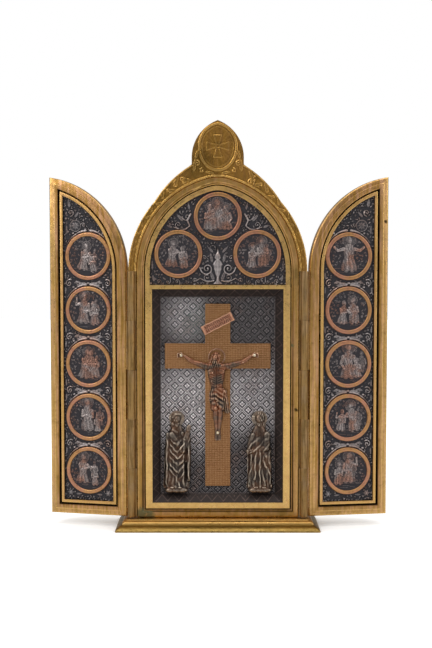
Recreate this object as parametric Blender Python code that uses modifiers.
"""Triptych altarpiece: an arched brass case on a stepped base, with two hinged doors.

Metres, +Z up, the front faces -Y, origin under the middle of the base.
The doors stand as in the photo, swung a little past flat.
"""
import math

import bmesh
import bpy
import numpy as np
from mathutils import Matrix, Vector

MM = 0.001
FIT_GAP = 0.3 * MM
# How far a cutter runs past the face that it opens
OVERSHOOT = 1.0 * MM
# Edges sharper than this stay crisp, the others are shaded round
SHARP_ANGLE = math.radians(35.0)

# Base
BASE_OVERHANG = 16.8 * MM
BASE_HEIGHT = 8.6 * MM
# Share of the height and step inwards (as a share of BASE_SPREAD) of each profile corner
BASE_SPREAD = 8.0 * MM
BASE_PROFILE = ((0.0, 0.0), (0.15, 0.0), (0.31, 0.36), (0.5, 0.6), (0.56, 0.52), (0.72, 0.56),
                (0.84, 0.74), (0.87, 1.0), (1.0, 1.0))

# Case and the arch that every outline follows
CASE_HALF_WIDTH = 65.0 * MM
CASE_DEPTH = 20.0 * MM
CASE_STRAIGHT = 198.3 * MM
ARCH_RISE = 75.0 * MM
APEX_RADIUS = 30.0 * MM
CASE_WALL = 2.0 * MM
CASE_BACK = 1.6 * MM
LEDGE_WIDTH = 2.3 * MM
ARC_STEPS = 8

# Front moulding and centre relief plate
MOULDING_WIDTH = 6.5 * MM
MOULDING_THICK = 4.0 * MM
MOULDING_ROUNDING = 1.5 * MM
FLANGE_THICK = 1.5 * MM
RIM_GAP = 0.5 * MM
RIM_WIDTH = 3.6 * MM
RIM_SETBACK = 0.6 * MM
TYMPANUM_DEPTH = 2.0 * MM
PLATE_THICK = 1.5 * MM
BAR_HEIGHT = 3.2 * MM
BAR_DROP = 14.2 * MM
FIELD_SIDE_BORDER = 1.8 * MM
FIELD_FOOT_BORDER = 4.6 * MM
FIELD_DEPTH = 8.0 * MM
SPLAY_WIDTH = 6.8 * MM

# Crest
CREST_WIDTH = 6.4 * MM
CREST_WIDEST = 13.6 * MM
CREST_CLEARANCE = 0.5 * MM
CREST_THICK = 4.0 * MM
CREST_PROUD = 1.4 * MM
CREST_BEAD = 1.2 * MM
FINIAL_HALF_WIDTH = 20.7 * MM
FINIAL_STEM = 6.0 * MM
FINIAL_RISE = 29.5 * MM
OVAL_HALF_WIDTH = 14.0 * MM
OVAL_RISE = 17.0 * MM
OVAL_DROP = 18.2 * MM
OVAL_RIM = 1.9 * MM
OVAL_SUNK = 0.7 * MM
OVAL_HEADROOM = 1.6 * MM
RIM_STEP = 0.1 * MM
LEAF_SHARE = 0.54
LEAVES_A_SIDE = 6

# Medallions
MEDALLION_RADIUS = 19.2 * MM
MEDALLION_RING = 3.2 * MM
MEDALLION_THICK = 0.8 * MM
RING_HEIGHT = 0.9 * MM
MEDALLION_STEPS = 16
TOP_MEDALLION_HEADROOM = 1.4 * MM
SIDE_MEDALLION_MARGIN = 3.7 * MM
SIDE_MEDALLION_LIFT = 5.6 * MM
SCROLL_RADIUS = 4.8 * MM
SCROLL_WIDTH = 2.0 * MM
SCROLL_HEIGHT = 0.9 * MM
SPANDREL_REACH = 13.8 * MM
VASE_HEIGHT = 29.5 * MM
VASE_HALF_WIDTH = 4.0 * MM

# Cross and what hangs on it
CROSS_SIDE_MARGIN = 3.2 * MM
CROSS_FOOT_MARGIN = 5.7 * MM
CROSS_TOP_MARGIN = 5.2 * MM
CROSS_SHAFT = 20.2 * MM
CROSS_ARM = 20.3 * MM
CROSS_ARM_DROP = 42.2 * MM
CROSS_THICK = 1.6 * MM
CROSS_EDGE = 0.3 * MM
NAIL_SHANK = 0.5 * MM
NAIL_HEAD = 1.4 * MM
NAIL_DEPTH = 1.0 * MM
HAND_INSET = 13.0 * MM
HAND_LIFT = 0.8 * MM
HAND_THICK = 2.0 * MM
TITLE_LENGTH = 25.0 * MM
TITLE_HEIGHT = 7.2 * MM
TITLE_THICK = 1.0 * MM
TITLE_TILT = math.radians(27.0)
TITLE_LIFT = 16.2 * MM

# Mourners
MOURNER_HEIGHT = 64.0 * MM
MOURNER_DEPTH = 6.4 * MM
LEFT_MOURNER_MARGIN = 1.2 * MM
RIGHT_MOURNER_MARGIN = 0.6 * MM
PLINTH_WIDTH = 22.0 * MM
PLINTH_HEIGHT = 4.2 * MM

# Doors
DOOR_THICK = 8.0 * MM
DOOR_STILE = 7.7 * MM
DOOR_BACK = 1.4 * MM
DOOR_EDGE = 0.7 * MM
DOOR_SEAT = 2.0 * MM
DOOR_LIFT = 0.6 * MM
DOOR_MEETING_GAP = 0.6 * MM
DOOR_GROOVE = 1.2 * MM
DOOR_RIM = 2.6 * MM
DOOR_FIELD_DEPTH = 2.0 * MM
DOOR_PLATE_SETBACK = 0.6 * MM
DOOR_PLATE_THICK = 3.2 * MM
DOOR_MEDALLIONS = 5
DOOR_MEDALLION_GAP = 5.1 * MM
DOOR_FIRST_MARGIN = 5.3 * MM
LEFT_REST_ANGLE = math.radians(13.5)
RIGHT_REST_ANGLE = math.radians(9.0)

# Hinges
BARREL_RADIUS = 3.2 * MM
BORE_RADIUS = 1.75 * MM
PIN_RADIUS = 1.2 * MM
LEAF_THICK = 1.2 * MM
LEAF_DEPTH = 7.0 * MM
KNUCKLES = 5
KNUCKLE_GAP = 0.5 * MM

# Worked out from the sizes above
BASE_HALF_WIDTH = CASE_HALF_WIDTH + BASE_OVERHANG
BASE_HALF_DEPTH = CASE_DEPTH / 2 + BASE_OVERHANG
CASE_FRONT = -CASE_DEPTH / 2
CASE_FOOT = BASE_HEIGHT + FIT_GAP
SPRING_Z = CASE_FOOT + CASE_STRAIGHT
APEX_Z = SPRING_Z + ARCH_RISE
ARC_OFFSET = ((ARCH_RISE ** 2 - 2 * ARCH_RISE * APEX_RADIUS - CASE_HALF_WIDTH ** 2
               + 2 * CASE_HALF_WIDTH * APEX_RADIUS) / (2 * (CASE_HALF_WIDTH - APEX_RADIUS)))
ARC_RADIUS = CASE_HALF_WIDTH + ARC_OFFSET
APEX_CENTRE = ARCH_RISE - APEX_RADIUS
BLEND_ANGLE = math.atan2(APEX_CENTRE, ARC_OFFSET)
MOULDING_BACK = CASE_FRONT + MOULDING_THICK
FLANGE_FRONT = MOULDING_BACK + FIT_GAP
FLANGE_BACK = FLANGE_FRONT + FLANGE_THICK
LEDGE_FRONT = FLANGE_BACK + FIT_GAP
RIM_INSET = MOULDING_WIDTH + RIM_GAP
RIM_FRONT = CASE_FRONT + RIM_SETBACK
TYMPANUM_FRONT = RIM_FRONT + TYMPANUM_DEPTH
FIELD_FRONT = RIM_FRONT + FIELD_DEPTH
PLATE_BACK = FIELD_FRONT + PLATE_THICK
FIELD_HALF_WIDTH = CASE_HALF_WIDTH - RIM_INSET - RIM_WIDTH - FIELD_SIDE_BORDER
FIELD_FOOT = CASE_FOOT + RIM_INSET + FIELD_FOOT_BORDER
FLOOR_HALF_WIDTH = FIELD_HALF_WIDTH - SPLAY_WIDTH
BAR_FOOT = SPRING_Z - BAR_DROP
BAR_TOP = BAR_FOOT + BAR_HEIGHT
TOP_MEDALLION_Z = APEX_Z - RIM_INSET - RIM_WIDTH - TOP_MEDALLION_HEADROOM - MEDALLION_RADIUS
SIDE_MEDALLION_X = CASE_HALF_WIDTH - RIM_INSET - RIM_WIDTH - SIDE_MEDALLION_MARGIN - MEDALLION_RADIUS
SIDE_MEDALLION_Z = BAR_TOP + SIDE_MEDALLION_LIFT + MEDALLION_RADIUS
CREST_FRONT = CASE_FRONT - CREST_PROUD
CREST_BACK = CREST_FRONT + CREST_THICK
NOTCH_Z = SPRING_Z + math.sqrt((ARC_RADIUS + CREST_WIDEST) ** 2
                               - (FINIAL_HALF_WIDTH + ARC_OFFSET) ** 2)
FINIAL_SPRING = NOTCH_Z + FINIAL_STEM
OVAL_Z = FINIAL_SPRING + FINIAL_RISE - OVAL_RISE - OVAL_RIM - OVAL_HEADROOM
CROSS_FOOT = FIELD_FOOT + SPLAY_WIDTH + CROSS_FOOT_MARGIN
CROSS_TOP = BAR_FOOT - SPLAY_WIDTH - CROSS_TOP_MARGIN
CROSS_HALF_SPAN = FLOOR_HALF_WIDTH - CROSS_SIDE_MARGIN
CROSS_ARM_Z = CROSS_TOP - CROSS_ARM_DROP
HAND_X = CROSS_HALF_SPAN - HAND_INSET
HAND_Z = CROSS_ARM_Z + HAND_LIFT
UNIT = HAND_X / 29.6
FEET_Z = HAND_Z - 62.8 * UNIT
TITLE_Z = CROSS_ARM_Z + CROSS_ARM / 2 + TITLE_LIFT
LEFT_MOURNER_X = -(FLOOR_HALF_WIDTH - LEFT_MOURNER_MARGIN - PLINTH_WIDTH / 2)
RIGHT_MOURNER_X = FLOOR_HALF_WIDTH - RIGHT_MOURNER_MARGIN - PLINTH_WIDTH / 2
CROSS_BACK = FIELD_FRONT - FIT_GAP
CROSS_FRONT = CROSS_BACK - CROSS_THICK
BODY_BACK = CROSS_FRONT - FIT_GAP
HAND_FRONT = BODY_BACK - HAND_THICK
HINGE_GAP = BARREL_RADIUS + LEAF_THICK / 2 + 2 * FIT_GAP
HINGE_X = CASE_HALF_WIDTH + HINGE_GAP
HINGE_Y = CASE_FRONT - FIT_GAP / 2
DOOR_FOOT = BASE_HEIGHT + DOOR_LIFT
DOOR_FACE = FIT_GAP / 2
DOOR_PLATE_FRONT = DOOR_FACE + DOOR_PLATE_SETBACK
DOOR_FIELD_FRONT = DOOR_PLATE_FRONT + DOOR_FIELD_DEPTH
DOOR_POCKET_FLOOR = DOOR_PLATE_FRONT + DOOR_PLATE_THICK + FIT_GAP
DOOR_RIM_INSET = DOOR_STILE + DOOR_GROOVE
DOOR_MIDDLE = HINGE_X - (CASE_HALF_WIDTH + DOOR_MEETING_GAP / 2) / 2
DOOR_FIELD_HALF = (CASE_HALF_WIDTH - DOOR_MEETING_GAP / 2) / 2 - DOOR_RIM_INSET - DOOR_RIM
DOOR_MEDALLION_PITCH = 2 * MEDALLION_RADIUS + DOOR_MEDALLION_GAP
DOOR_MEDALLION_FIRST_Z = DOOR_FOOT + DOOR_RIM_INSET + DOOR_RIM + DOOR_FIRST_MARGIN + MEDALLION_RADIUS

PIECES = "triptych_altarpiece"
CUTTERS = "cutters"


def clear_scene():
    for item in list(bpy.data.objects):
        bpy.data.objects.remove(item, do_unlink=True)
    for name in (PIECES, CUTTERS):
        group = bpy.data.collections.new(name)
        bpy.context.scene.collection.children.link(group)


def material(name, colour, metallic, roughness):
    made = bpy.data.materials.new(name)
    made.use_nodes = True
    shader = made.node_tree.nodes["Principled BSDF"]
    shader.inputs["Base Color"].default_value = (*colour, 1.0)
    shader.inputs["Metallic"].default_value = metallic
    shader.inputs["Roughness"].default_value = roughness
    return made


def add_object(name, mesh, group=CUTTERS):
    made = bpy.data.objects.new(name, mesh)
    bpy.data.collections[group].objects.link(made)
    return made


def from_bmesh(name, shape):
    mesh = bpy.data.meshes.new(name)
    bmesh.ops.recalc_face_normals(shape, faces=shape.faces)
    shape.to_mesh(mesh)
    shape.free()
    return add_object(name, mesh)


def baked(source, name=None):
    """A plain mesh object of what the source shows with its modifiers; the source goes."""
    bpy.context.view_layer.update()
    shown = source.evaluated_get(bpy.context.evaluated_depsgraph_get())
    mesh = bpy.data.meshes.new_from_object(shown)
    shape = bmesh.new()
    shape.from_mesh(mesh)
    bmesh.ops.transform(shape, matrix=source.matrix_world, verts=shape.verts)
    bmesh.ops.remove_doubles(shape, verts=shape.verts, dist=0.002 * MM)
    shape.to_mesh(mesh)
    shape.free()
    kept_name = name or source.name
    bpy.data.objects.remove(source, do_unlink=True)
    return add_object(kept_name, mesh)


def flat_solid(name, loops, front, back):
    """Closed outlines in X and Z, filled between outer and inner ones, from front to back in Y."""
    curve = bpy.data.curves.new(name, "CURVE")
    curve.dimensions = "2D"
    curve.fill_mode = "BOTH"
    curve.extrude = (back - front) / 2
    for loop in loops:
        spline = curve.splines.new("POLY")
        spline.points.add(len(loop) - 1)
        spline.use_cyclic_u = True
        for point, (x, z) in zip(spline.points, loop):
            point.co = (x, z, 0.0, 1.0)
    holder = add_object(name, curve)
    middle = Matrix.Translation((0, (front + back) / 2, 0))
    holder.matrix_world = middle @ Matrix.Rotation(math.pi / 2, 4, "X")
    return baked(holder)


def block(name, low, high):
    shape = bmesh.new()
    bmesh.ops.create_cube(shape, size=1.0)
    low = Vector(low)
    high = Vector(high)
    sizing = Matrix.Diagonal((high - low).to_4d())
    sizing[3][3] = 1.0
    bmesh.ops.transform(shape, matrix=Matrix.Translation((low + high) / 2) @ sizing, verts=shape.verts)
    return from_bmesh(name, shape)


def ball(name, centre, radii, segments=8, rings=6, turn=0.0):
    shape = bmesh.new()
    bmesh.ops.create_uvsphere(shape, u_segments=segments, v_segments=rings, radius=1.0)
    placed = (Matrix.Translation(centre) @ Matrix.Rotation(turn, 4, "Y")
              @ Matrix.Diagonal((*radii, 1.0)))
    bmesh.ops.transform(shape, matrix=placed, verts=shape.verts)
    return from_bmesh(name, shape)


def stone(name, centre, radii, turn=0.0):
    """A coarse rounded lump of twenty faces."""
    shape = bmesh.new()
    bmesh.ops.create_icosphere(shape, subdivisions=1, radius=1.0)
    placed = (Matrix.Translation(centre) @ Matrix.Rotation(turn, 4, "Y")
              @ Matrix.Diagonal((*radii, 1.0)))
    bmesh.ops.transform(shape, matrix=placed, verts=shape.verts)
    return from_bmesh(name, shape)


def limb(name, start, end, start_radius, end_radius, segments=8, flat=1.0):
    """A tapered round bar between two points, flattened towards the ground by flat."""
    start = Vector(start)
    end = Vector(end)
    shape = bmesh.new()
    bmesh.ops.create_cone(shape, cap_ends=True, segments=segments, radius1=start_radius,
                          radius2=end_radius, depth=(end - start).length)
    turn = (end - start).to_track_quat("Z", "Y").to_matrix().to_4x4()
    bmesh.ops.transform(shape, matrix=Matrix.Translation((start + end) / 2) @ turn, verts=shape.verts)
    middle = (start.y + end.y) / 2
    for vert in shape.verts:
        vert.co.y = middle + (vert.co.y - middle) * flat
    return from_bmesh(name, shape)


def rod(name, centre, radius, height, segments=12, axis="Y"):
    shape = bmesh.new()
    bmesh.ops.create_cone(shape, cap_ends=True, segments=segments, radius1=radius, radius2=radius,
                          depth=height)
    turn = Matrix.Rotation(math.pi / 2, 4, "X") if axis == "Y" else Matrix.Identity(4)
    bmesh.ops.transform(shape, matrix=Matrix.Translation(centre) @ turn, verts=shape.verts)
    return from_bmesh(name, shape)


def turned(name, profile, centre, steps):
    """A profile of (radius, y) pairs turned about an axis along Y through the centre."""
    mesh = bpy.data.meshes.new(name)
    points = [(radius, 0.0, -y) for radius, y in profile]
    edges = [(i, i + 1) for i in range(len(points) - 1)]
    mesh.from_pydata(points, edges, [])
    holder = add_object(name, mesh)
    screw = holder.modifiers.new("turned", "SCREW")
    screw.steps = steps
    screw.render_steps = steps
    screw.use_merge_vertices = True
    screw.merge_threshold = 0.0001
    screw.use_smooth_shade = False
    holder.matrix_world = Matrix.Translation(centre) @ Matrix.Rotation(math.pi / 2, 4, "X")
    made = baked(holder)
    fix_normals(made)
    return made


def fix_normals(item):
    shape = bmesh.new()
    shape.from_mesh(item.data)
    bmesh.ops.recalc_face_normals(shape, faces=shape.faces)
    shape.to_mesh(item.data)
    shape.free()


def combine(target, others, operation, solver="EXACT"):
    """Join or cut with all the others at once, so that no half-joined surface is cut again."""
    tools = bpy.data.collections.new("tools")
    for other in others:
        tools.objects.link(other)
    change = target.modifiers.new(operation.lower(), "BOOLEAN")
    change.operation = operation
    change.solver = solver
    change.operand_type = "COLLECTION"
    change.collection = tools
    made = baked(target)
    for other in others:
        bpy.data.objects.remove(other, do_unlink=True)
    bpy.data.collections.remove(tools)
    return made


def united(name, parts):
    made = combine(parts[0], parts[1:], "UNION")
    made.name = name
    return made


def cut_away(target, cutters):
    """Cutters stay in their own collection; the cut is a live modifier."""
    for cutter in cutters:
        change = target.modifiers.new("cut " + cutter.name, "BOOLEAN")
        change.operation = "DIFFERENCE"
        change.solver = "EXACT"
        change.object = cutter
        cutter.display_type = "WIRE"
        cutter.hide_render = True
    return target


def finish(target, name, surface, parent=None):
    """Name a finished piece, give it its material and move it to the pieces collection."""
    target.name = name
    target.data.name = name
    target.data.materials.clear()
    target.data.materials.append(surface)
    target.data.shade_smooth()
    target.data.set_sharp_from_angle(angle=SHARP_ANGLE)
    bpy.data.collections[CUTTERS].objects.unlink(target)
    bpy.data.collections[PIECES].objects.link(target)
    if parent is not None:
        target.parent = parent
    return target


def half_arch(inset, steps=ARC_STEPS):
    """Points from the spring of the right arc up to the apex, the case outline moved in by inset."""
    radius = ARC_RADIUS - inset
    points = [(-ARC_OFFSET + radius * math.cos(BLEND_ANGLE * i / steps),
               SPRING_Z + radius * math.sin(BLEND_ANGLE * i / steps)) for i in range(steps + 1)]
    top_radius = APEX_RADIUS - inset
    half = BLEND_ANGLE + (math.pi / 2 - BLEND_ANGLE) / 2
    points.append((top_radius * math.cos(half), SPRING_Z + APEX_CENTRE + top_radius * math.sin(half)))
    points.append((0.0, SPRING_Z + APEX_CENTRE + top_radius))
    return points


def arch_outline(inset, foot=None, steps=ARC_STEPS):
    """The case outline moved inwards by inset on every side."""
    foot_z = CASE_FOOT + inset if foot is None else foot
    right = [(CASE_HALF_WIDTH - inset, foot_z)] + half_arch(inset, steps)
    left = [(-x, z) for x, z in reversed(right[:-1])]
    return right + left


def stacked_rectangles(name, levels):
    """A mitred moulding round a rectangle: each level is (z, half width, half depth)."""
    shape = bmesh.new()
    rings = []
    for z, half_x, half_y in levels:
        corners = ((-half_x, -half_y), (half_x, -half_y), (half_x, half_y), (-half_x, half_y))
        rings.append([shape.verts.new((x, y, z)) for x, y in corners])
    shape.faces.new(rings[0])
    shape.faces.new(rings[-1])
    for lower, upper in zip(rings, rings[1:]):
        for i in range(4):
            shape.faces.new((lower[i - 1], lower[i], upper[i], upper[i - 1]))
    return from_bmesh(name, shape)


def build_base(brass):
    levels = [(share * BASE_HEIGHT, BASE_HALF_WIDTH - step * BASE_SPREAD,
               BASE_HALF_DEPTH - step * BASE_SPREAD) for share, step in BASE_PROFILE]
    finish(stacked_rectangles("base", levels), "base", brass)


def build_case(brass):
    shell = flat_solid("case_shell", [arch_outline(0)], FLANGE_FRONT, -CASE_FRONT)
    seat = flat_solid("flange_seat", [arch_outline(CASE_WALL)], FLANGE_FRONT - OVERSHOOT, LEDGE_FRONT)
    hollow = flat_solid("case_hollow", [arch_outline(CASE_WALL + LEDGE_WIDTH)],
                        FLANGE_FRONT - OVERSHOOT, -CASE_FRONT - CASE_BACK)
    cut_away(shell, [seat, hollow])
    finish(shell, "case_shell", brass)
    ring = flat_solid("front_moulding", [arch_outline(0), arch_outline(MOULDING_WIDTH)],
                      CASE_FRONT, MOULDING_BACK)
    round_front_edges(ring, CASE_FRONT, MOULDING_ROUNDING)
    finish(ring, "front_moulding", brass)


def round_front_edges(target, front, width, segments=2):
    """Bevel only the edges that lie in the front plane."""
    shape = bmesh.new()
    shape.from_mesh(target.data)
    shape.edges.ensure_lookup_table()
    chosen = []
    for edge in shape.edges:
        in_plane = all(abs(vert.co.y - front) < 0.01 * MM for vert in edge.verts)
        sharp = len(edge.link_faces) == 2 and edge.calc_face_angle(0.0) > math.radians(60)
        if in_plane and sharp:
            chosen.append(edge)
    bmesh.ops.bevel(shape, geom=chosen, offset=width, segments=segments, profile=0.5, affect="EDGES")
    bmesh.ops.recalc_face_normals(shape, faces=shape.faces)
    shape.to_mesh(target.data)
    shape.free()


def splayed_pocket(name, half_width, foot, top, front, back, splay):
    """A rectangular tray cutter whose floor is smaller than its mouth."""
    shape = bmesh.new()
    bmesh.ops.create_cube(shape, size=1.0)
    slope = splay / (back - front)
    over = OVERSHOOT
    for vert in shape.verts:
        at_front = vert.co.y < 0
        inward = -over * slope if at_front else splay
        half = half_width - inward
        vert.co.x = half if vert.co.x > 0 else -half
        vert.co.z = top - inward if vert.co.z > 0 else foot + inward
        vert.co.y = front - over if at_front else back
    return from_bmesh(name, shape)


def scroll(name, centre, radius, width, height, floor, turns, start, mirror=1.0, steps=7):
    """A raised volute band that winds in from its outer end, standing on the floor plane."""
    outer = []
    inner = []
    for i in range(steps + 1):
        share = i / steps
        angle = start + turns * 2 * math.pi * share
        reach = radius * (1.0 - 0.62 * share)
        half = width / 2 * (0.45 + 0.55 * math.sin(math.pi * (0.15 + 0.75 * share)))
        for side, line in ((half, outer), (-half, inner)):
            line.append((centre[0] + mirror * (reach + side) * math.cos(angle),
                         centre[1] + (reach + side) * math.sin(angle)))
    return flat_solid(name, [outer + inner[::-1]], floor - height, floor + FIT_GAP)


def tympanum_scrolls(side, floor):
    """One volute beside the vase and one in the spandrel between the roundels and the rim."""
    low = (side * (VASE_HALF_WIDTH + SCROLL_RADIUS), BAR_TOP + SCROLL_RADIUS + 1.5 * SCROLL_WIDTH)
    across = Vector((SIDE_MEDALLION_X, SIDE_MEDALLION_Z - TOP_MEDALLION_Z))
    outward = Vector((-across.y, across.x)).normalized() * SPANDREL_REACH
    high = (side * (across.x / 2 + outward.x), TOP_MEDALLION_Z + across.y / 2 + outward.y)
    sizes = (SCROLL_RADIUS, SCROLL_WIDTH, SCROLL_HEIGHT)
    return [scroll("scroll", low, *sizes, floor, 1.1, math.pi / 2, -side),
            scroll("scroll", high, *sizes, floor, 1.0, -math.pi / 2, side)]


# Half widths up the vase, from its foot: (share of its height, share of its half width)
VASE_PROFILE = ((0.03, 0.8), (0.1, 0.3), (0.22, 0.35), (0.4, 0.85), (0.54, 1.0), (0.66, 0.4), (0.75, 0.65),
                (0.86, 0.22))


def tympanum_vase(floor):
    low = BAR_TOP + SCROLL_HEIGHT
    right = [(0.0, low)]
    right += [(width * VASE_HALF_WIDTH, low + share * VASE_HEIGHT) for share, width in VASE_PROFILE]
    right.append((0.0, low + VASE_HEIGHT))
    left = [(-x, z) for x, z in right[-2:0:-1]]
    return flat_solid("vase", [right + left], floor - SCROLL_HEIGHT, floor + FIT_GAP)


def build_centre_plate(silvered):
    plate = flat_solid("centre_relief_plate", [arch_outline(RIM_INSET)], RIM_FRONT, PLATE_BACK)
    flange = flat_solid("flange", [arch_outline(CASE_WALL + FIT_GAP)], FLANGE_FRONT, FLANGE_BACK)
    parts = [plate, flange]
    plate = united("centre_relief_plate", parts)
    tympanum = flat_solid("tympanum_pocket", [arch_outline(RIM_INSET + RIM_WIDTH, BAR_TOP)],
                          RIM_FRONT - OVERSHOOT, TYMPANUM_FRONT)
    field = splayed_pocket("field_pocket", FIELD_HALF_WIDTH, FIELD_FOOT, BAR_FOOT,
                           RIM_FRONT, FIELD_FRONT, SPLAY_WIDTH)
    hollow_back = flat_solid("back_pocket", [arch_outline(RIM_INSET + PLATE_THICK, BAR_FOOT + PLATE_THICK)],
                             TYMPANUM_FRONT + PLATE_THICK, PLATE_BACK + OVERSHOOT)
    seat_depth = TYMPANUM_FRONT - RIM_FRONT + OVERSHOOT
    seat = rod("top_medallion_seat", (0, TYMPANUM_FRONT - seat_depth / 2, TOP_MEDALLION_Z),
               MEDALLION_RADIUS + FIT_GAP, seat_depth, 2 * MEDALLION_STEPS)
    plate = combine(plate, [tympanum, field, hollow_back, seat], "DIFFERENCE")
    ornament = [tympanum_vase(TYMPANUM_FRONT)]
    for side in (-1, 1):
        ornament += tympanum_scrolls(side, TYMPANUM_FRONT)
    plate = united("centre_relief_plate", [plate] + ornament)
    finish(plate, "centre_relief_plate", silvered)


def crest_width(angle):
    """The band is even along its lower part and widens towards the finial."""
    start = math.radians(42.0)
    end = math.radians(68.0)
    share = min(1.0, max(0.0, (angle - start) / (end - start)))
    return CREST_WIDTH + (CREST_WIDEST - CREST_WIDTH) * share


def crest_outline():
    """Right half from the foot to the finial's point, then mirrored, closed by the inner arch."""
    notch_angle = math.atan2(NOTCH_Z - SPRING_Z, FINIAL_HALF_WIDTH + ARC_OFFSET)
    steps = ARC_STEPS + 2
    right = []
    for i in range(steps + 1):
        angle = notch_angle * i / steps
        reach = ARC_RADIUS + crest_width(angle)
        right.append((-ARC_OFFSET + reach * math.cos(angle), SPRING_Z + reach * math.sin(angle)))
    right[-1] = (FINIAL_HALF_WIDTH * 1.04, NOTCH_Z)
    right.append((FINIAL_HALF_WIDTH, NOTCH_Z + FINIAL_STEM / 5))
    radius = (FINIAL_HALF_WIDTH ** 2 + FINIAL_RISE ** 2) / (2 * FINIAL_HALF_WIDTH)
    top_angle = math.asin(FINIAL_RISE / radius)
    arc_steps = 6
    for i in range(arc_steps + 1):
        angle = top_angle * i / arc_steps
        right.append((FINIAL_HALF_WIDTH - radius + radius * math.cos(angle),
                      FINIAL_SPRING + radius * math.sin(angle)))
    right[-1] = (0.0, FINIAL_SPRING + FINIAL_RISE)
    left = [(-x, z) for x, z in reversed(right[:-1])]
    inner_right = half_arch(-CREST_CLEARANCE)
    inner_left = [(-x, z) for x, z in inner_right]
    return right + left + inner_left + inner_right[-2::-1]


def pointed_oval(half_width, rise, drop, centre_z, steps=6):
    """Rounded below and drawn to a soft point above."""
    radius = (half_width ** 2 + rise ** 2) / (2 * half_width)
    top_angle = math.asin(min(1.0, rise / radius))
    right = []
    for i in range(steps + 1):
        angle = -math.pi / 2 + math.pi / 2 * i / steps
        right.append((half_width * math.cos(angle), centre_z + drop * math.sin(angle)))
    for i in range(1, steps + 1):
        angle = top_angle * i / steps
        right.append((half_width - radius + radius * math.cos(angle), centre_z + radius * math.sin(angle)))
    right[0] = (0.0, centre_z - drop)
    right[-1] = (0.0, centre_z + rise)
    return right + [(-x, z) for x, z in reversed(right[1:-1])]


# One flared arm of the cross on the finial, in shares of the oval's half width
PATTEE_ARM = ((0.06, 0.09), (0.24, 0.66), (0.0, 0.59), (-0.24, 0.66), (-0.06, 0.09))


def build_crest(brass):
    band = flat_solid("crest", [crest_outline()], CREST_FRONT + OVAL_SUNK, CREST_BACK)
    bead_outer = [(CASE_HALF_WIDTH + CREST_CLEARANCE + CREST_BEAD, SPRING_Z)] + half_arch(
        -CREST_CLEARANCE - CREST_BEAD)[1:]
    bead_inner = half_arch(-CREST_CLEARANCE)
    outer = bead_outer + [(-x, z) for x, z in bead_outer[-2::-1]]
    inner = bead_inner + [(-x, z) for x, z in bead_inner[-2::-1]]
    bead = flat_solid("bead", [outer + inner[::-1]], CREST_FRONT, CREST_FRONT + OVAL_SUNK + FIT_GAP)
    rim = flat_solid("oval_rim", [
        pointed_oval(OVAL_HALF_WIDTH + OVAL_RIM, OVAL_RISE + OVAL_RIM, OVAL_DROP + OVAL_RIM, OVAL_Z),
        pointed_oval(OVAL_HALF_WIDTH, OVAL_RISE, OVAL_DROP, OVAL_Z)],
        CREST_FRONT + RIM_STEP, CREST_FRONT + OVAL_SUNK + FIT_GAP)
    parts = [band, bead, rim]
    surface = CREST_FRONT + OVAL_SUNK
    for side in (-1, 1):
        for i in range(LEAVES_A_SIDE):
            angle = math.radians(4.0 + 56.0 * i / (LEAVES_A_SIDE - 1))
            lean = 0.55 if i % 2 else -0.55
            reach = ARC_RADIUS + CREST_CLEARANCE + CREST_BEAD + (crest_width(angle) - CREST_BEAD) / 2
            centre = (side * (-ARC_OFFSET + reach * math.cos(angle)), surface,
                      SPRING_Z + reach * math.sin(angle))
            long = CREST_WIDTH * LEAF_SHARE
            parts.append(stone("leaf", centre, (long, OVAL_SUNK * 0.9, long * 0.45),
                               side * (math.pi / 2 - angle + lean)))
        side_gap = FINIAL_HALF_WIDTH - OVAL_HALF_WIDTH - OVAL_RIM
        curl_x = side * (FINIAL_HALF_WIDTH - side_gap * 0.6)
        parts.append(stone("leaf", (curl_x, surface, NOTCH_Z + FINIAL_STEM / 2),
                           (side_gap * 0.3, OVAL_SUNK * 0.9, FINIAL_STEM * 1.2), side * -0.12))
    cross_arms = []
    for i in range(4):
        turn = math.pi / 2 * i
        outline = [(OVAL_HALF_WIDTH * (x * math.cos(turn) - z * math.sin(turn)),
                    OVAL_Z + OVAL_HALF_WIDTH * (x * math.sin(turn) + z * math.cos(turn)))
                   for x, z in PATTEE_ARM]
        cross_arms.append(flat_solid("raised_arm", [outline], surface - OVAL_SUNK / 3, surface + FIT_GAP))
    crest = united("crest", parts + cross_arms)
    finish(crest, "crest", brass)


def struck_disc(name, centre):
    """Roundel blank: flat disc with a raised ring round its edge."""
    radius = MEDALLION_RADIUS
    ring = MEDALLION_RING
    floor = -MEDALLION_THICK
    profile = ((0.0, floor), (radius - ring, floor), (radius - ring * 0.75, floor - RING_HEIGHT),
               (radius - ring * 0.2, floor - RING_HEIGHT), (radius, 0.0), (0.0, 0.0))
    return turned(name, profile, centre, MEDALLION_STEPS)


def small_figure(x, z, floor, tall, lean, halo, halo_depth):
    """A robed figure of a few faces: tapering robe, head and, for some, a halo disc."""
    head = 0.17 * tall
    neck_z = z + tall * 0.62
    neck_x = x + lean * tall * 0.62
    parts = [limb("robe", (x, floor, z - tall * 0.38), (neck_x, floor, neck_z), 0.3 * tall, 0.16 * tall, 6,
                  0.95 * RING_HEIGHT / (0.3 * tall))]
    parts.append(stone("head", (neck_x + lean * head, floor - 0.06 * RING_HEIGHT, neck_z + head * 0.8),
                       (head * 0.85, 0.93 * RING_HEIGHT, head)))
    if halo:
        parts.append(rod("halo", (neck_x + lean * head, floor, neck_z + head * 0.9), head * 1.55,
                         halo_depth, 6))
    return parts


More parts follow.
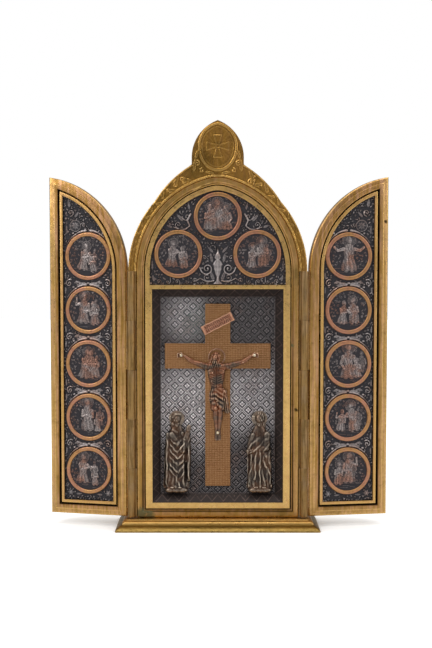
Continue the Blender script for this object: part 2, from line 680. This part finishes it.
# Each scene is a few figures: (x, z, height, lean, halo) in shares of the inner radius
MEDALLION_SCENES = {
    "left_1": ((-0.3, -0.1, 0.85, 0.35, True), (0.35, -0.3, 0.65, -0.5, False)),
    "left_2": ((-0.25, 0.0, 1.0, 0.1, True), (0.4, -0.2, 0.75, -0.25, False)),
    "left_3": ((-0.25, -0.1, 0.95, 0.3, True), (0.35, -0.1, 0.9, -0.3, False)),
    "left_4": ((-0.05, 0.0, 1.05, 0.0, True), (0.5, -0.25, 0.6, -0.1, False)),
    "left_5": ((-0.35, 0.0, 0.95, 0.1, True), (0.35, -0.3, 0.6, -0.15, True)),
    "right_1": ((0.0, -0.05, 1.15, 0.0, True),),
    "right_2": ((-0.35, -0.15, 0.75, 0.2, False), (0.3, -0.1, 0.85, -0.15, True)),
    "right_3": ((0.0, 0.0, 1.15, 0.0, True), (0.5, -0.2, 0.65, -0.2, False)),
    "right_4": ((0.35, -0.05, 0.95, -0.3, True), (-0.4, -0.15, 0.7, 0.2, False)),
    "right_5": ((0.05, 0.05, 1.0, 0.0, True), (-0.5, -0.15, 0.75, 0.1, True)),
    "top": ((-0.45, -0.1, 0.8, 0.1, True), (0.0, 0.0, 0.95, 0.0, True), (0.45, -0.1, 0.8, -0.1, True)),
    "side_left": ((-0.35, -0.05, 0.85, 0.15, True), (0.3, -0.2, 0.7, -0.2, False)),
    "side_right": ((0.3, 0.0, 0.9, -0.1, True), (-0.3, -0.15, 0.75, 0.15, True)),
}


def build_medallion(name, scene, centre, surface, parent=None):
    """One struck roundel; centre is on its back face, in the frame of its parent."""
    inner = MEDALLION_RADIUS - MEDALLION_RING
    floor = centre[1] - MEDALLION_THICK
    parts = [struck_disc(name, centre)]
    for i, (x, z, tall, lean, halo) in enumerate(MEDALLION_SCENES[scene]):
        parts += small_figure(centre[0] + x * inner, centre[2] + (z - 0.12) * inner, floor, tall * inner,
                              lean, halo, (0.85 + 0.2 * i) * RING_HEIGHT)
    finish(united(name, parts), name, surface, parent)


def build_centre_medallions(silvered):
    back = TYMPANUM_FRONT - FIT_GAP
    build_medallion("centre_medallion_top", "top", (0, back, TOP_MEDALLION_Z), silvered)
    for side, hand in ((-1, "left"), (1, "right")):
        centre = (side * SIDE_MEDALLION_X, back, SIDE_MEDALLION_Z)
        build_medallion("centre_medallion_" + hand, "side_" + hand, centre, silvered)


def nail_places():
    return (("nail_left", -HAND_X, HAND_Z, HAND_FRONT), ("nail_right", HAND_X, HAND_Z, HAND_FRONT),
            ("nail_feet", 0.0, FEET_Z, HAND_FRONT))


def nail_bores(label):
    bores = []
    for name, x, z, front in nail_places():
        bores.append(rod("bore_" + label + "_" + name, (x, CROSS_FRONT, z), NAIL_SHANK + FIT_GAP,
                         2 * (CROSS_FRONT - front + HAND_THICK), 8))
    return bores


def build_cross(copper, steel):
    shaft = CROSS_SHAFT / 2
    arm = CROSS_ARM / 2
    right = [(shaft, CROSS_FOOT), (shaft, CROSS_ARM_Z - arm), (CROSS_HALF_SPAN, CROSS_ARM_Z - arm),
             (CROSS_HALF_SPAN, CROSS_ARM_Z + arm), (shaft, CROSS_ARM_Z + arm), (shaft, CROSS_TOP)]
    outline = right + [(-x, z) for x, z in reversed(right)]
    cross = flat_solid("cross", [outline], CROSS_FRONT, CROSS_BACK)
    round_front_edges(cross, CROSS_FRONT, CROSS_EDGE, 1)
    sockets = [rod("socket", (x, CROSS_FRONT, z), NAIL_SHANK + FIT_GAP, 2 * (NAIL_DEPTH + FIT_GAP / 2), 8)
               for name, x, z, front in nail_places()]
    finish(combine(cross, sockets, "DIFFERENCE"), "cross", copper)
    for name, x, z, front in nail_places():
        head_back = front - FIT_GAP
        profile = ((0.0, head_back - 0.72 * NAIL_HEAD), (0.8 * NAIL_HEAD, head_back - 0.55 * NAIL_HEAD),
                   (NAIL_HEAD, head_back),
                   (NAIL_SHANK, head_back), (NAIL_SHANK, CROSS_FRONT + NAIL_DEPTH - FIT_GAP),
                   (0.0, CROSS_FRONT + NAIL_DEPTH - FIT_GAP))
        finish(turned(name, profile, (x, 0, z), 8), name, steel)


def build_title(copper):
    half = TITLE_LENGTH / 2
    back = BODY_BACK
    sheet = block("title", (-half, back - TITLE_THICK, -TITLE_HEIGHT / 2), (half, back, TITLE_HEIGHT / 2))
    rolls = []
    for side in (-1, 1):
        shape = bmesh.new()
        bmesh.ops.create_cone(shape, cap_ends=True, segments=10, radius1=TITLE_THICK, radius2=TITLE_THICK,
                              depth=TITLE_HEIGHT * 1.12)
        bmesh.ops.translate(shape, vec=(side * half, back - TITLE_THICK, 0), verts=shape.verts)
        rolls.append(from_bmesh("roll", shape))
    title = united("title_scroll", [sheet] + rolls)
    title.data.transform(Matrix.Translation((0, 0, TITLE_Z)) @ Matrix.Rotation(-TITLE_TILT, 4, "Y"))
    finish(title, "title_scroll", copper)


def draped(name, foot, height, widths, depths, folds, fold_count, lean=0.0, segments=20, rings=9):
    """A closed body in the round whose surface falls in folds.

    widths, depths and folds are read at even steps from the hem (first) to the top (last).
    """
    shape = bmesh.new()
    bmesh.ops.create_uvsphere(shape, u_segments=segments, v_segments=rings, radius=1.0)
    for vert in shape.verts:
        angle = math.atan2(vert.co.x, -vert.co.y)
        polar = math.acos(max(-1.0, min(1.0, vert.co.z)))
        share = 1.0 - polar / math.pi
        on_axis = share < 0.001 or share > 0.999
        share = min(1.0, max(0.0, (share - 1 / rings) / (1 - 2 / rings)))
        steps = np.linspace(0.0, 1.0, len(widths))
        width = float(np.interp(share, steps, widths))
        depth = float(np.interp(share, steps, depths))
        fold = float(np.interp(share, steps, folds)) * math.cos(fold_count * angle + 2.0 * share)
        grow = 0.0 if on_axis else 1.0 + fold
        vert.co.x = foot[0] + lean * share + width * grow * math.sin(angle)
        vert.co.y = foot[1] - depth * grow * math.cos(angle)
        vert.co.z = foot[2] + height * share
    return from_bmesh(name, shape)


def trimmed_behind(target, plane, name):
    """Take off what reaches behind a plane, so that the casting has a flat back."""
    reach = 0.2
    behind = block("behind", (-reach, plane, -reach), (reach, plane + reach, 2 * reach))
    made = combine(target, [behind], "DIFFERENCE", "MANIFOLD")
    made.name = name
    return made


def build_crucified(bronze):
    deep = BODY_BACK - 1.5 * UNIT
    shoulder_z = HAND_Z - 7.6 * UNIT
    hip_z = shoulder_z - 25.0 * UNIT
    knee = (0.2 * UNIT, deep - 1.6 * UNIT, FEET_Z + 20.5 * UNIT)
    foot_z = FEET_Z - 6.0 * UNIT
    parts = [draped("torso", (-0.6 * UNIT, deep, hip_z), shoulder_z - hip_z + 1.5 * UNIT,
                    [width * UNIT for width in (5.2, 4.6, 5.4, 6.8, 7.4, 5.0)],
                    [depth * UNIT for depth in (2.2, 2.0, 2.3, 2.9, 2.6, 1.8)],
                    (0.0, 0.0, 0.05, 0.05, 0.0, 0.0), 4, -0.8 * UNIT, 10, 7)]
    parts.append(draped("loincloth", (0.0, deep, hip_z - 8.5 * UNIT), 15.0 * UNIT,
                        [width * UNIT for width in (4.6, 6.2, 6.6, 5.4)],
                        [depth * UNIT for depth in (2.2, 2.8, 2.9, 2.4)],
                        (0.1, 0.14, 0.12, 0.05), 7, 0.0, 14, 6))
    parts.append(limb("cloth_end", (5.6 * UNIT, deep, hip_z + 2 * UNIT),
                      (7.4 * UNIT, deep, hip_z - 12.5 * UNIT), 1.6 * UNIT, 2.5 * UNIT, 6, 0.6))
    for side in (-1, 1):
        shoulder = (side * 9.6 * UNIT - 0.8 * UNIT, deep, shoulder_z - 0.5 * UNIT)
        elbow = (side * 19.5 * UNIT, deep + 0.1 * UNIT, shoulder_z + 2.0 * UNIT)
        hand = (side * HAND_X, BODY_BACK - HAND_THICK / 2, HAND_Z)
        chest = (side * 3.4 * UNIT - 0.8 * UNIT, deep, shoulder_z - 1.6 * UNIT)
        parts.append(limb("upper_arm", chest, elbow, 2.7 * UNIT, 1.9 * UNIT, 6))
        parts.append(stone("elbow", elbow, (2.1 * UNIT, 1.8 * UNIT, 2.0 * UNIT)))
        parts.append(ball("shoulder", shoulder, (3.0 * UNIT, 2.1 * UNIT, 2.6 * UNIT), 6, 4))
        parts.append(limb("forearm", elbow, hand, 1.95 * UNIT, 1.3 * UNIT, 6, 0.85))
        parts.append(stone("hand", hand, (3.1 * UNIT, 0.495 * HAND_THICK, 2.3 * UNIT)))
        hip = (side * 2.7 * UNIT, deep, hip_z - 4.0 * UNIT)
        bent = (knee[0] + side * 1.9 * UNIT, knee[1], knee[2] + side * 0.6 * UNIT)
        ankle = (side * 0.9 * UNIT, BODY_BACK - 1.1 * UNIT, FEET_Z + 2.5 * UNIT)
        parts.append(limb("thigh", hip, bent, 3.1 * UNIT, 2.3 * UNIT, 6, 0.9))
        parts.append(stone("knee", bent, (2.5 * UNIT, 2.2 * UNIT, 2.5 * UNIT)))
        parts.append(limb("shin", bent, ankle, 2.2 * UNIT, 1.4 * UNIT, 6, 0.8))
        toes = (side * 1.0 * UNIT, BODY_BACK - 1.0 * UNIT, foot_z)
        parts.append(limb("foot", ankle, toes, 1.5 * UNIT, 1.9 * UNIT, 6, 0.7))
    head = (-2.2 * UNIT, deep - 0.9 * UNIT, HAND_Z - 2.1 * UNIT)
    parts.append(limb("neck", (-1.2 * UNIT, deep, shoulder_z), head, 2.2 * UNIT, 1.8 * UNIT, 6))
    parts.append(ball("head", head, (2.9 * UNIT, 2.5 * UNIT, 3.7 * UNIT), 8, 6, 0.3))
    parts.append(stone("hair", (head[0] + 0.4 * UNIT, head[1] + 1.0 * UNIT, head[2] + 0.6 * UNIT),
                       (4.0 * UNIT, 2.2 * UNIT, 4.3 * UNIT), 0.3))
    parts.append(stone("beard", (head[0] - 1.0 * UNIT, head[1] - 0.8 * UNIT, head[2] - 3.2 * UNIT),
                       (1.6 * UNIT, 1.5 * UNIT, 1.9 * UNIT), 0.3))
    halo_radius = 7.0 * UNIT
    halo_inner = halo_radius - 1.1 * UNIT
    halo_profile = ((halo_inner, -0.9 * UNIT), (halo_radius, -0.7 * UNIT), (halo_radius, 0.4 * UNIT),
                    (halo_inner, 0.4 * UNIT), (halo_inner, -0.9 * UNIT))
    halo = turned("halo", halo_profile, (-0.8 * UNIT, BODY_BACK, HAND_Z - 1.4 * UNIT), 14)
    body = united("crucified_figure", parts + [halo])
    body = trimmed_behind(body, BODY_BACK, "crucified_figure")
    body = combine(body, nail_bores("figure"), "DIFFERENCE", "MANIFOLD")
    finish(body, "crucified_figure", bronze)


def mourner_common(name, x, facing):
    """Plinth, robe, mantle, head and halo; facing is the side the figure turns to."""
    unit = MOURNER_HEIGHT / 64
    deep = MOURNER_DEPTH / 6.4
    back = FIELD_FRONT - FIT_GAP
    foot_z = FIELD_FOOT + SPLAY_WIDTH + FIT_GAP
    robe_z = foot_z + PLINTH_HEIGHT * 0.9
    middle = back - 1.2 * deep
    half = PLINTH_WIDTH / 2
    plinth = block(name, (x - half, back - MOURNER_DEPTH, foot_z),
                   (x + half, back + deep, foot_z + PLINTH_HEIGHT))
    robe = draped("robe", (x, middle, robe_z), MOURNER_HEIGHT * 0.8,
                  [width * unit for width in (9.6, 8.4, 8.0, 8.6, 8.2, 4.4)],
                  [depth * deep for depth in (4.4, 4.0, 4.2, 4.6, 4.2, 2.6)],
                  (0.10, 0.09, 0.06, 0.04, 0.02, 0.0), 9, facing * 0.6 * unit, 22, 7)
    head = (x + facing * unit, middle - deep, robe_z + MOURNER_HEIGHT * 0.885)
    parts = [plinth, robe]
    parts.append(limb("neck", (x, middle, head[2] - 9.5 * unit), head, 2.6 * unit, 2.1 * unit, 6, 0.9))
    parts.append(ball("head", head, (3.4 * unit, 3.0 * deep, 4.3 * unit), 8, 6, facing * 0.2))
    parts.append(ball("hood", (head[0] - facing * unit, middle, head[2] + 0.5 * unit),
                      (4.6 * unit, 2.9 * deep, 5.2 * unit), 8, 5, facing * 0.15))
    halo = (head[0] - facing * 0.6 * unit, back - 0.6 * deep, head[2])
    parts.append(rod("halo", halo, 6.2 * unit, 1.2 * deep, 14))
    return parts, middle, robe_z, back


def build_mourners(bronze):
    unit = MOURNER_HEIGHT / 64
    deep = MOURNER_DEPTH / 6.4
    parts, middle, robe_z, back = mourner_common("left_mourner", LEFT_MOURNER_X, 1)
    x = LEFT_MOURNER_X
    chest = robe_z + MOURNER_HEIGHT * 0.62
    hands = (x + 9.6 * unit, middle - 2.6 * deep, robe_z + MOURNER_HEIGHT * 0.76)
    elbow = (x + 4.0 * unit, middle - 3.2 * deep, chest - 2.5 * unit)
    parts.append(limb("near_arm", (x - 3.0 * unit, middle - 3.4 * deep, chest + 4 * unit), elbow,
                      2.6 * unit, 2.4 * unit, 6, 0.8))
    parts.append(limb("near_forearm", (x + 3.0 * unit, middle - 3.2 * deep, chest - 2.8 * unit), hands,
                      2.7 * unit, 1.4 * unit, 6, 0.8))
    parts.append(ball("hands", hands, (1.6 * unit, 1.4 * deep, 2.8 * unit), 6, 4, 0.25))
    hem = (x + 8.2 * unit, middle - 1.2 * deep, robe_z + 9 * unit)
    parts.append(limb("mantle_edge", (x + 6.2 * unit, middle - 2.2 * deep, chest + unit), hem,
                      2.6 * unit, 1.2 * unit, 6, 0.7))
    finish(trimmed_behind(united("left_mourner", parts), back, "left_mourner"), "left_mourner", bronze)
    parts, middle, robe_z, back = mourner_common("right_mourner", RIGHT_MOURNER_X, -1)
    x = RIGHT_MOURNER_X
    chest = robe_z + MOURNER_HEIGHT * 0.58
    hands = (x - 7.8 * unit, middle - 3.0 * deep, robe_z + MOURNER_HEIGHT * 0.47)
    elbow = (x + 5.0 * unit, middle - 3.0 * deep, chest - 6 * unit)
    parts.append(limb("far_arm", (x + 6.0 * unit, middle - 2.2 * deep, chest + 6 * unit), elbow,
                      2.6 * unit, 2.3 * unit, 6, 0.8))
    parts.append(limb("far_forearm", (x + 5.0 * unit, middle - 3.2 * deep, chest - 6 * unit), hands,
                      2.4 * unit, 1.5 * unit, 6, 0.8))
    parts.append(limb("near_arm", (x - 6.4 * unit, middle - 2.2 * deep, chest + 5 * unit), hands,
                      2.6 * unit, 1.6 * unit, 6, 0.8))
    parts.append(ball("hands", hands, (2.4 * unit, 1.5 * deep, 2.0 * unit), 6, 4, 0.3))
    hem = (x - 1.6 * unit, middle - 3.6 * deep, robe_z + 8 * unit)
    parts.append(limb("hanging_fold", (x - 0.6 * unit, middle - 3.6 * deep, chest - 9 * unit), hem,
                      2.8 * unit, 1.8 * unit, 6, 0.5))
    finish(trimmed_behind(united("right_mourner", parts), back, "right_mourner"), "right_mourner", bronze)


def door_outline(inset, side):
    """The half arch that covers one half of the case front, in the door's own frame."""
    free_edge = DOOR_MEETING_GAP / 2 + inset
    radius = ARC_RADIUS - inset
    last = math.acos((free_edge + ARC_OFFSET) / radius)
    distances = [(CASE_HALF_WIDTH - inset, DOOR_FOOT + inset)]
    for i in range(ARC_STEPS + 2):
        angle = last * i / (ARC_STEPS + 1)
        distances.append((-ARC_OFFSET + radius * math.cos(angle), SPRING_Z + radius * math.sin(angle)))
    distances.append((free_edge, DOOR_FOOT + inset))
    return [(side * (HINGE_X - distance), z) for distance, z in distances]


def door_pivot(name, side, rest_angle):
    pivot = bpy.data.objects.new(name, None)
    bpy.data.collections[PIECES].objects.link(pivot)
    pivot.location = (side * HINGE_X, HINGE_Y, 0.0)
    pivot.rotation_euler = (0.0, 0.0, side * rest_angle)
    return pivot


def build_door(label, side, rest_angle, brass, silvered):
    pivot = door_pivot(label + "_door_pivot", side, rest_angle)
    frame = flat_solid(label + "_door_frame", [door_outline(0.0, side)], DOOR_FACE, DOOR_FACE + DOOR_THICK)
    round_front_edges(frame, DOOR_FACE, DOOR_EDGE, 1)
    pocket = flat_solid(label + "_door_pocket", [door_outline(DOOR_STILE, side)],
                        DOOR_FACE - OVERSHOOT, DOOR_POCKET_FLOOR)
    hollow = flat_solid(label + "_door_hollow", [door_outline(DOOR_STILE + DOOR_SEAT, side)],
                        DOOR_FACE - OVERSHOOT, DOOR_FACE + DOOR_THICK - DOOR_BACK)
    frame = combine(frame, [pocket, hollow], "DIFFERENCE")
    finish(frame, label + "_door_frame", brass, pivot)
    body = flat_solid("door_plate_body", [door_outline(DOOR_RIM_INSET, side)], DOOR_PLATE_FRONT,
                      DOOR_PLATE_FRONT + DOOR_PLATE_THICK)
    step = flat_solid("door_plate_step", [door_outline(DOOR_STILE + FIT_GAP, side)],
                      DOOR_FIELD_FRONT, DOOR_PLATE_FRONT + DOOR_PLATE_THICK)
    plate = united(label + "_door_plate", [body, step])
    sunk = flat_solid("door_field", [door_outline(DOOR_RIM_INSET + DOOR_RIM, side)],
                      DOOR_PLATE_FRONT - OVERSHOOT, DOOR_FIELD_FRONT)
    plate = combine(plate, [sunk], "DIFFERENCE")
    middle = side * DOOR_MIDDLE
    ornament = []
    for i in range(DOOR_MEDALLIONS):
        z = DOOR_MEDALLION_FIRST_Z + i * DOOR_MEDALLION_PITCH
        between = z + DOOR_MEDALLION_PITCH / 2
        if i == DOOR_MEDALLIONS - 1:
            break
        for hand in (-1, 1):
            radius = 0.75 * SCROLL_RADIUS
            reach = DOOR_FIELD_HALF - radius - SCROLL_WIDTH
            ornament.append(scroll("scroll", (middle + hand * reach, between), radius, 0.8 * SCROLL_WIDTH,
                                   SCROLL_HEIGHT, DOOR_FIELD_FRONT, 0.9, math.pi / 2, -hand, 5))
    plate = united(label + "_door_plate", [plate] + ornament)
    finish(plate, label + "_door_plate", silvered, pivot)
    for i in range(DOOR_MEDALLIONS):
        z = DOOR_MEDALLION_FIRST_Z + i * DOOR_MEDALLION_PITCH
        number = DOOR_MEDALLIONS - i
        build_medallion(label + "_door_medallion_" + str(number), label + "_" + str(number),
                        (middle, DOOR_FIELD_FRONT - FIT_GAP, z), silvered, pivot)
    return pivot


def knuckle_span(i):
    length = (SPRING_Z - DOOR_FOOT) / KNUCKLES
    low = DOOR_FOOT + i * length + (KNUCKLE_GAP / 2 if i else 0.0)
    high = DOOR_FOOT + (i + 1) * length - (KNUCKLE_GAP / 2 if i < KNUCKLES - 1 else 0.0)
    return low, high


def hinge_leaf(name, side, which, inner_face, outer_face, front, back):
    """Knuckles at every second place and the strip that joins them; axis at the local origin."""
    tubes = []
    bores = []
    for i in range(which, KNUCKLES, 2):
        low, high = knuckle_span(i)
        tubes.append(rod("knuckle", (0, 0, (low + high) / 2), BARREL_RADIUS, high - low, 10, "Z"))
        strip = block("strip", (min(inner_face, outer_face), front, low),
                      (max(inner_face, outer_face), back, high))
        tubes.append(strip)
    low = knuckle_span(which)[0]
    high = knuckle_span(KNUCKLES - 1 - which)[1]
    near = inner_face + (outer_face - inner_face) * 0.35
    spine_front = BARREL_RADIUS + FIT_GAP
    spine = block("spine", (min(near, outer_face), spine_front, low), (max(near, outer_face), back, high))
    bores.append(rod("bore", (0, 0, (low + high) / 2), BORE_RADIUS, high - low + 2 * OVERSHOOT, 6, "Z"))
    leaf = united(name, [spine] + tubes)
    return combine(leaf, bores, "DIFFERENCE")


def build_hinges(brass, steel, pivots):
    for label, side, pivot in pivots:
        inner = side * -(BARREL_RADIUS - LEAF_THICK / 3)
        outer = side * -(HINGE_GAP - FIT_GAP)
        case_leaf = hinge_leaf(label + "_hinge_case_leaf", side, 0, inner, outer, 0.0, LEAF_DEPTH)
        case_leaf.data.transform(Matrix.Translation((side * HINGE_X, HINGE_Y, 0)))
        finish(case_leaf, label + "_hinge_case_leaf", brass)
        door_leaf = hinge_leaf(label + "_hinge_door_leaf", side, 1, -inner, -outer, 0.0, LEAF_DEPTH)
        finish(door_leaf, label + "_hinge_door_leaf", brass, pivot)
        low = knuckle_span(0)[0]
        high = knuckle_span(KNUCKLES - 1)[1]
        pin = rod(label + "_hinge_pin", (side * HINGE_X, HINGE_Y, (low + high) / 2), PIN_RADIUS,
                  high - low, 10, "Z")
        finish(pin, label + "_hinge_pin", steel)


def main():
    clear_scene()
    brass = material("brass", (0.62, 0.42, 0.16), 1.0, 0.38)
    silvered = material("dark_silvered_relief", (0.12, 0.11, 0.12), 0.9, 0.5)
    copper = material("copper", (0.42, 0.22, 0.13), 1.0, 0.45)
    bronze = material("dark_bronze", (0.16, 0.13, 0.11), 0.95, 0.45)
    steel = material("bright_steel", (0.6, 0.58, 0.55), 1.0, 0.3)
    build_base(brass)
    build_case(brass)
    build_centre_plate(silvered)
    build_crest(brass)
    build_centre_medallions(silvered)
    build_cross(copper, steel)
    build_title(copper)
    build_crucified(bronze)
    build_mourners(bronze)
    left = build_door("left", -1, LEFT_REST_ANGLE, brass, silvered)
    right = build_door("right", 1, RIGHT_REST_ANGLE, brass, silvered)
    build_hinges(brass, steel, (("left", -1, left), ("right", 1, right)))
    bpy.context.view_layer.update()


main()
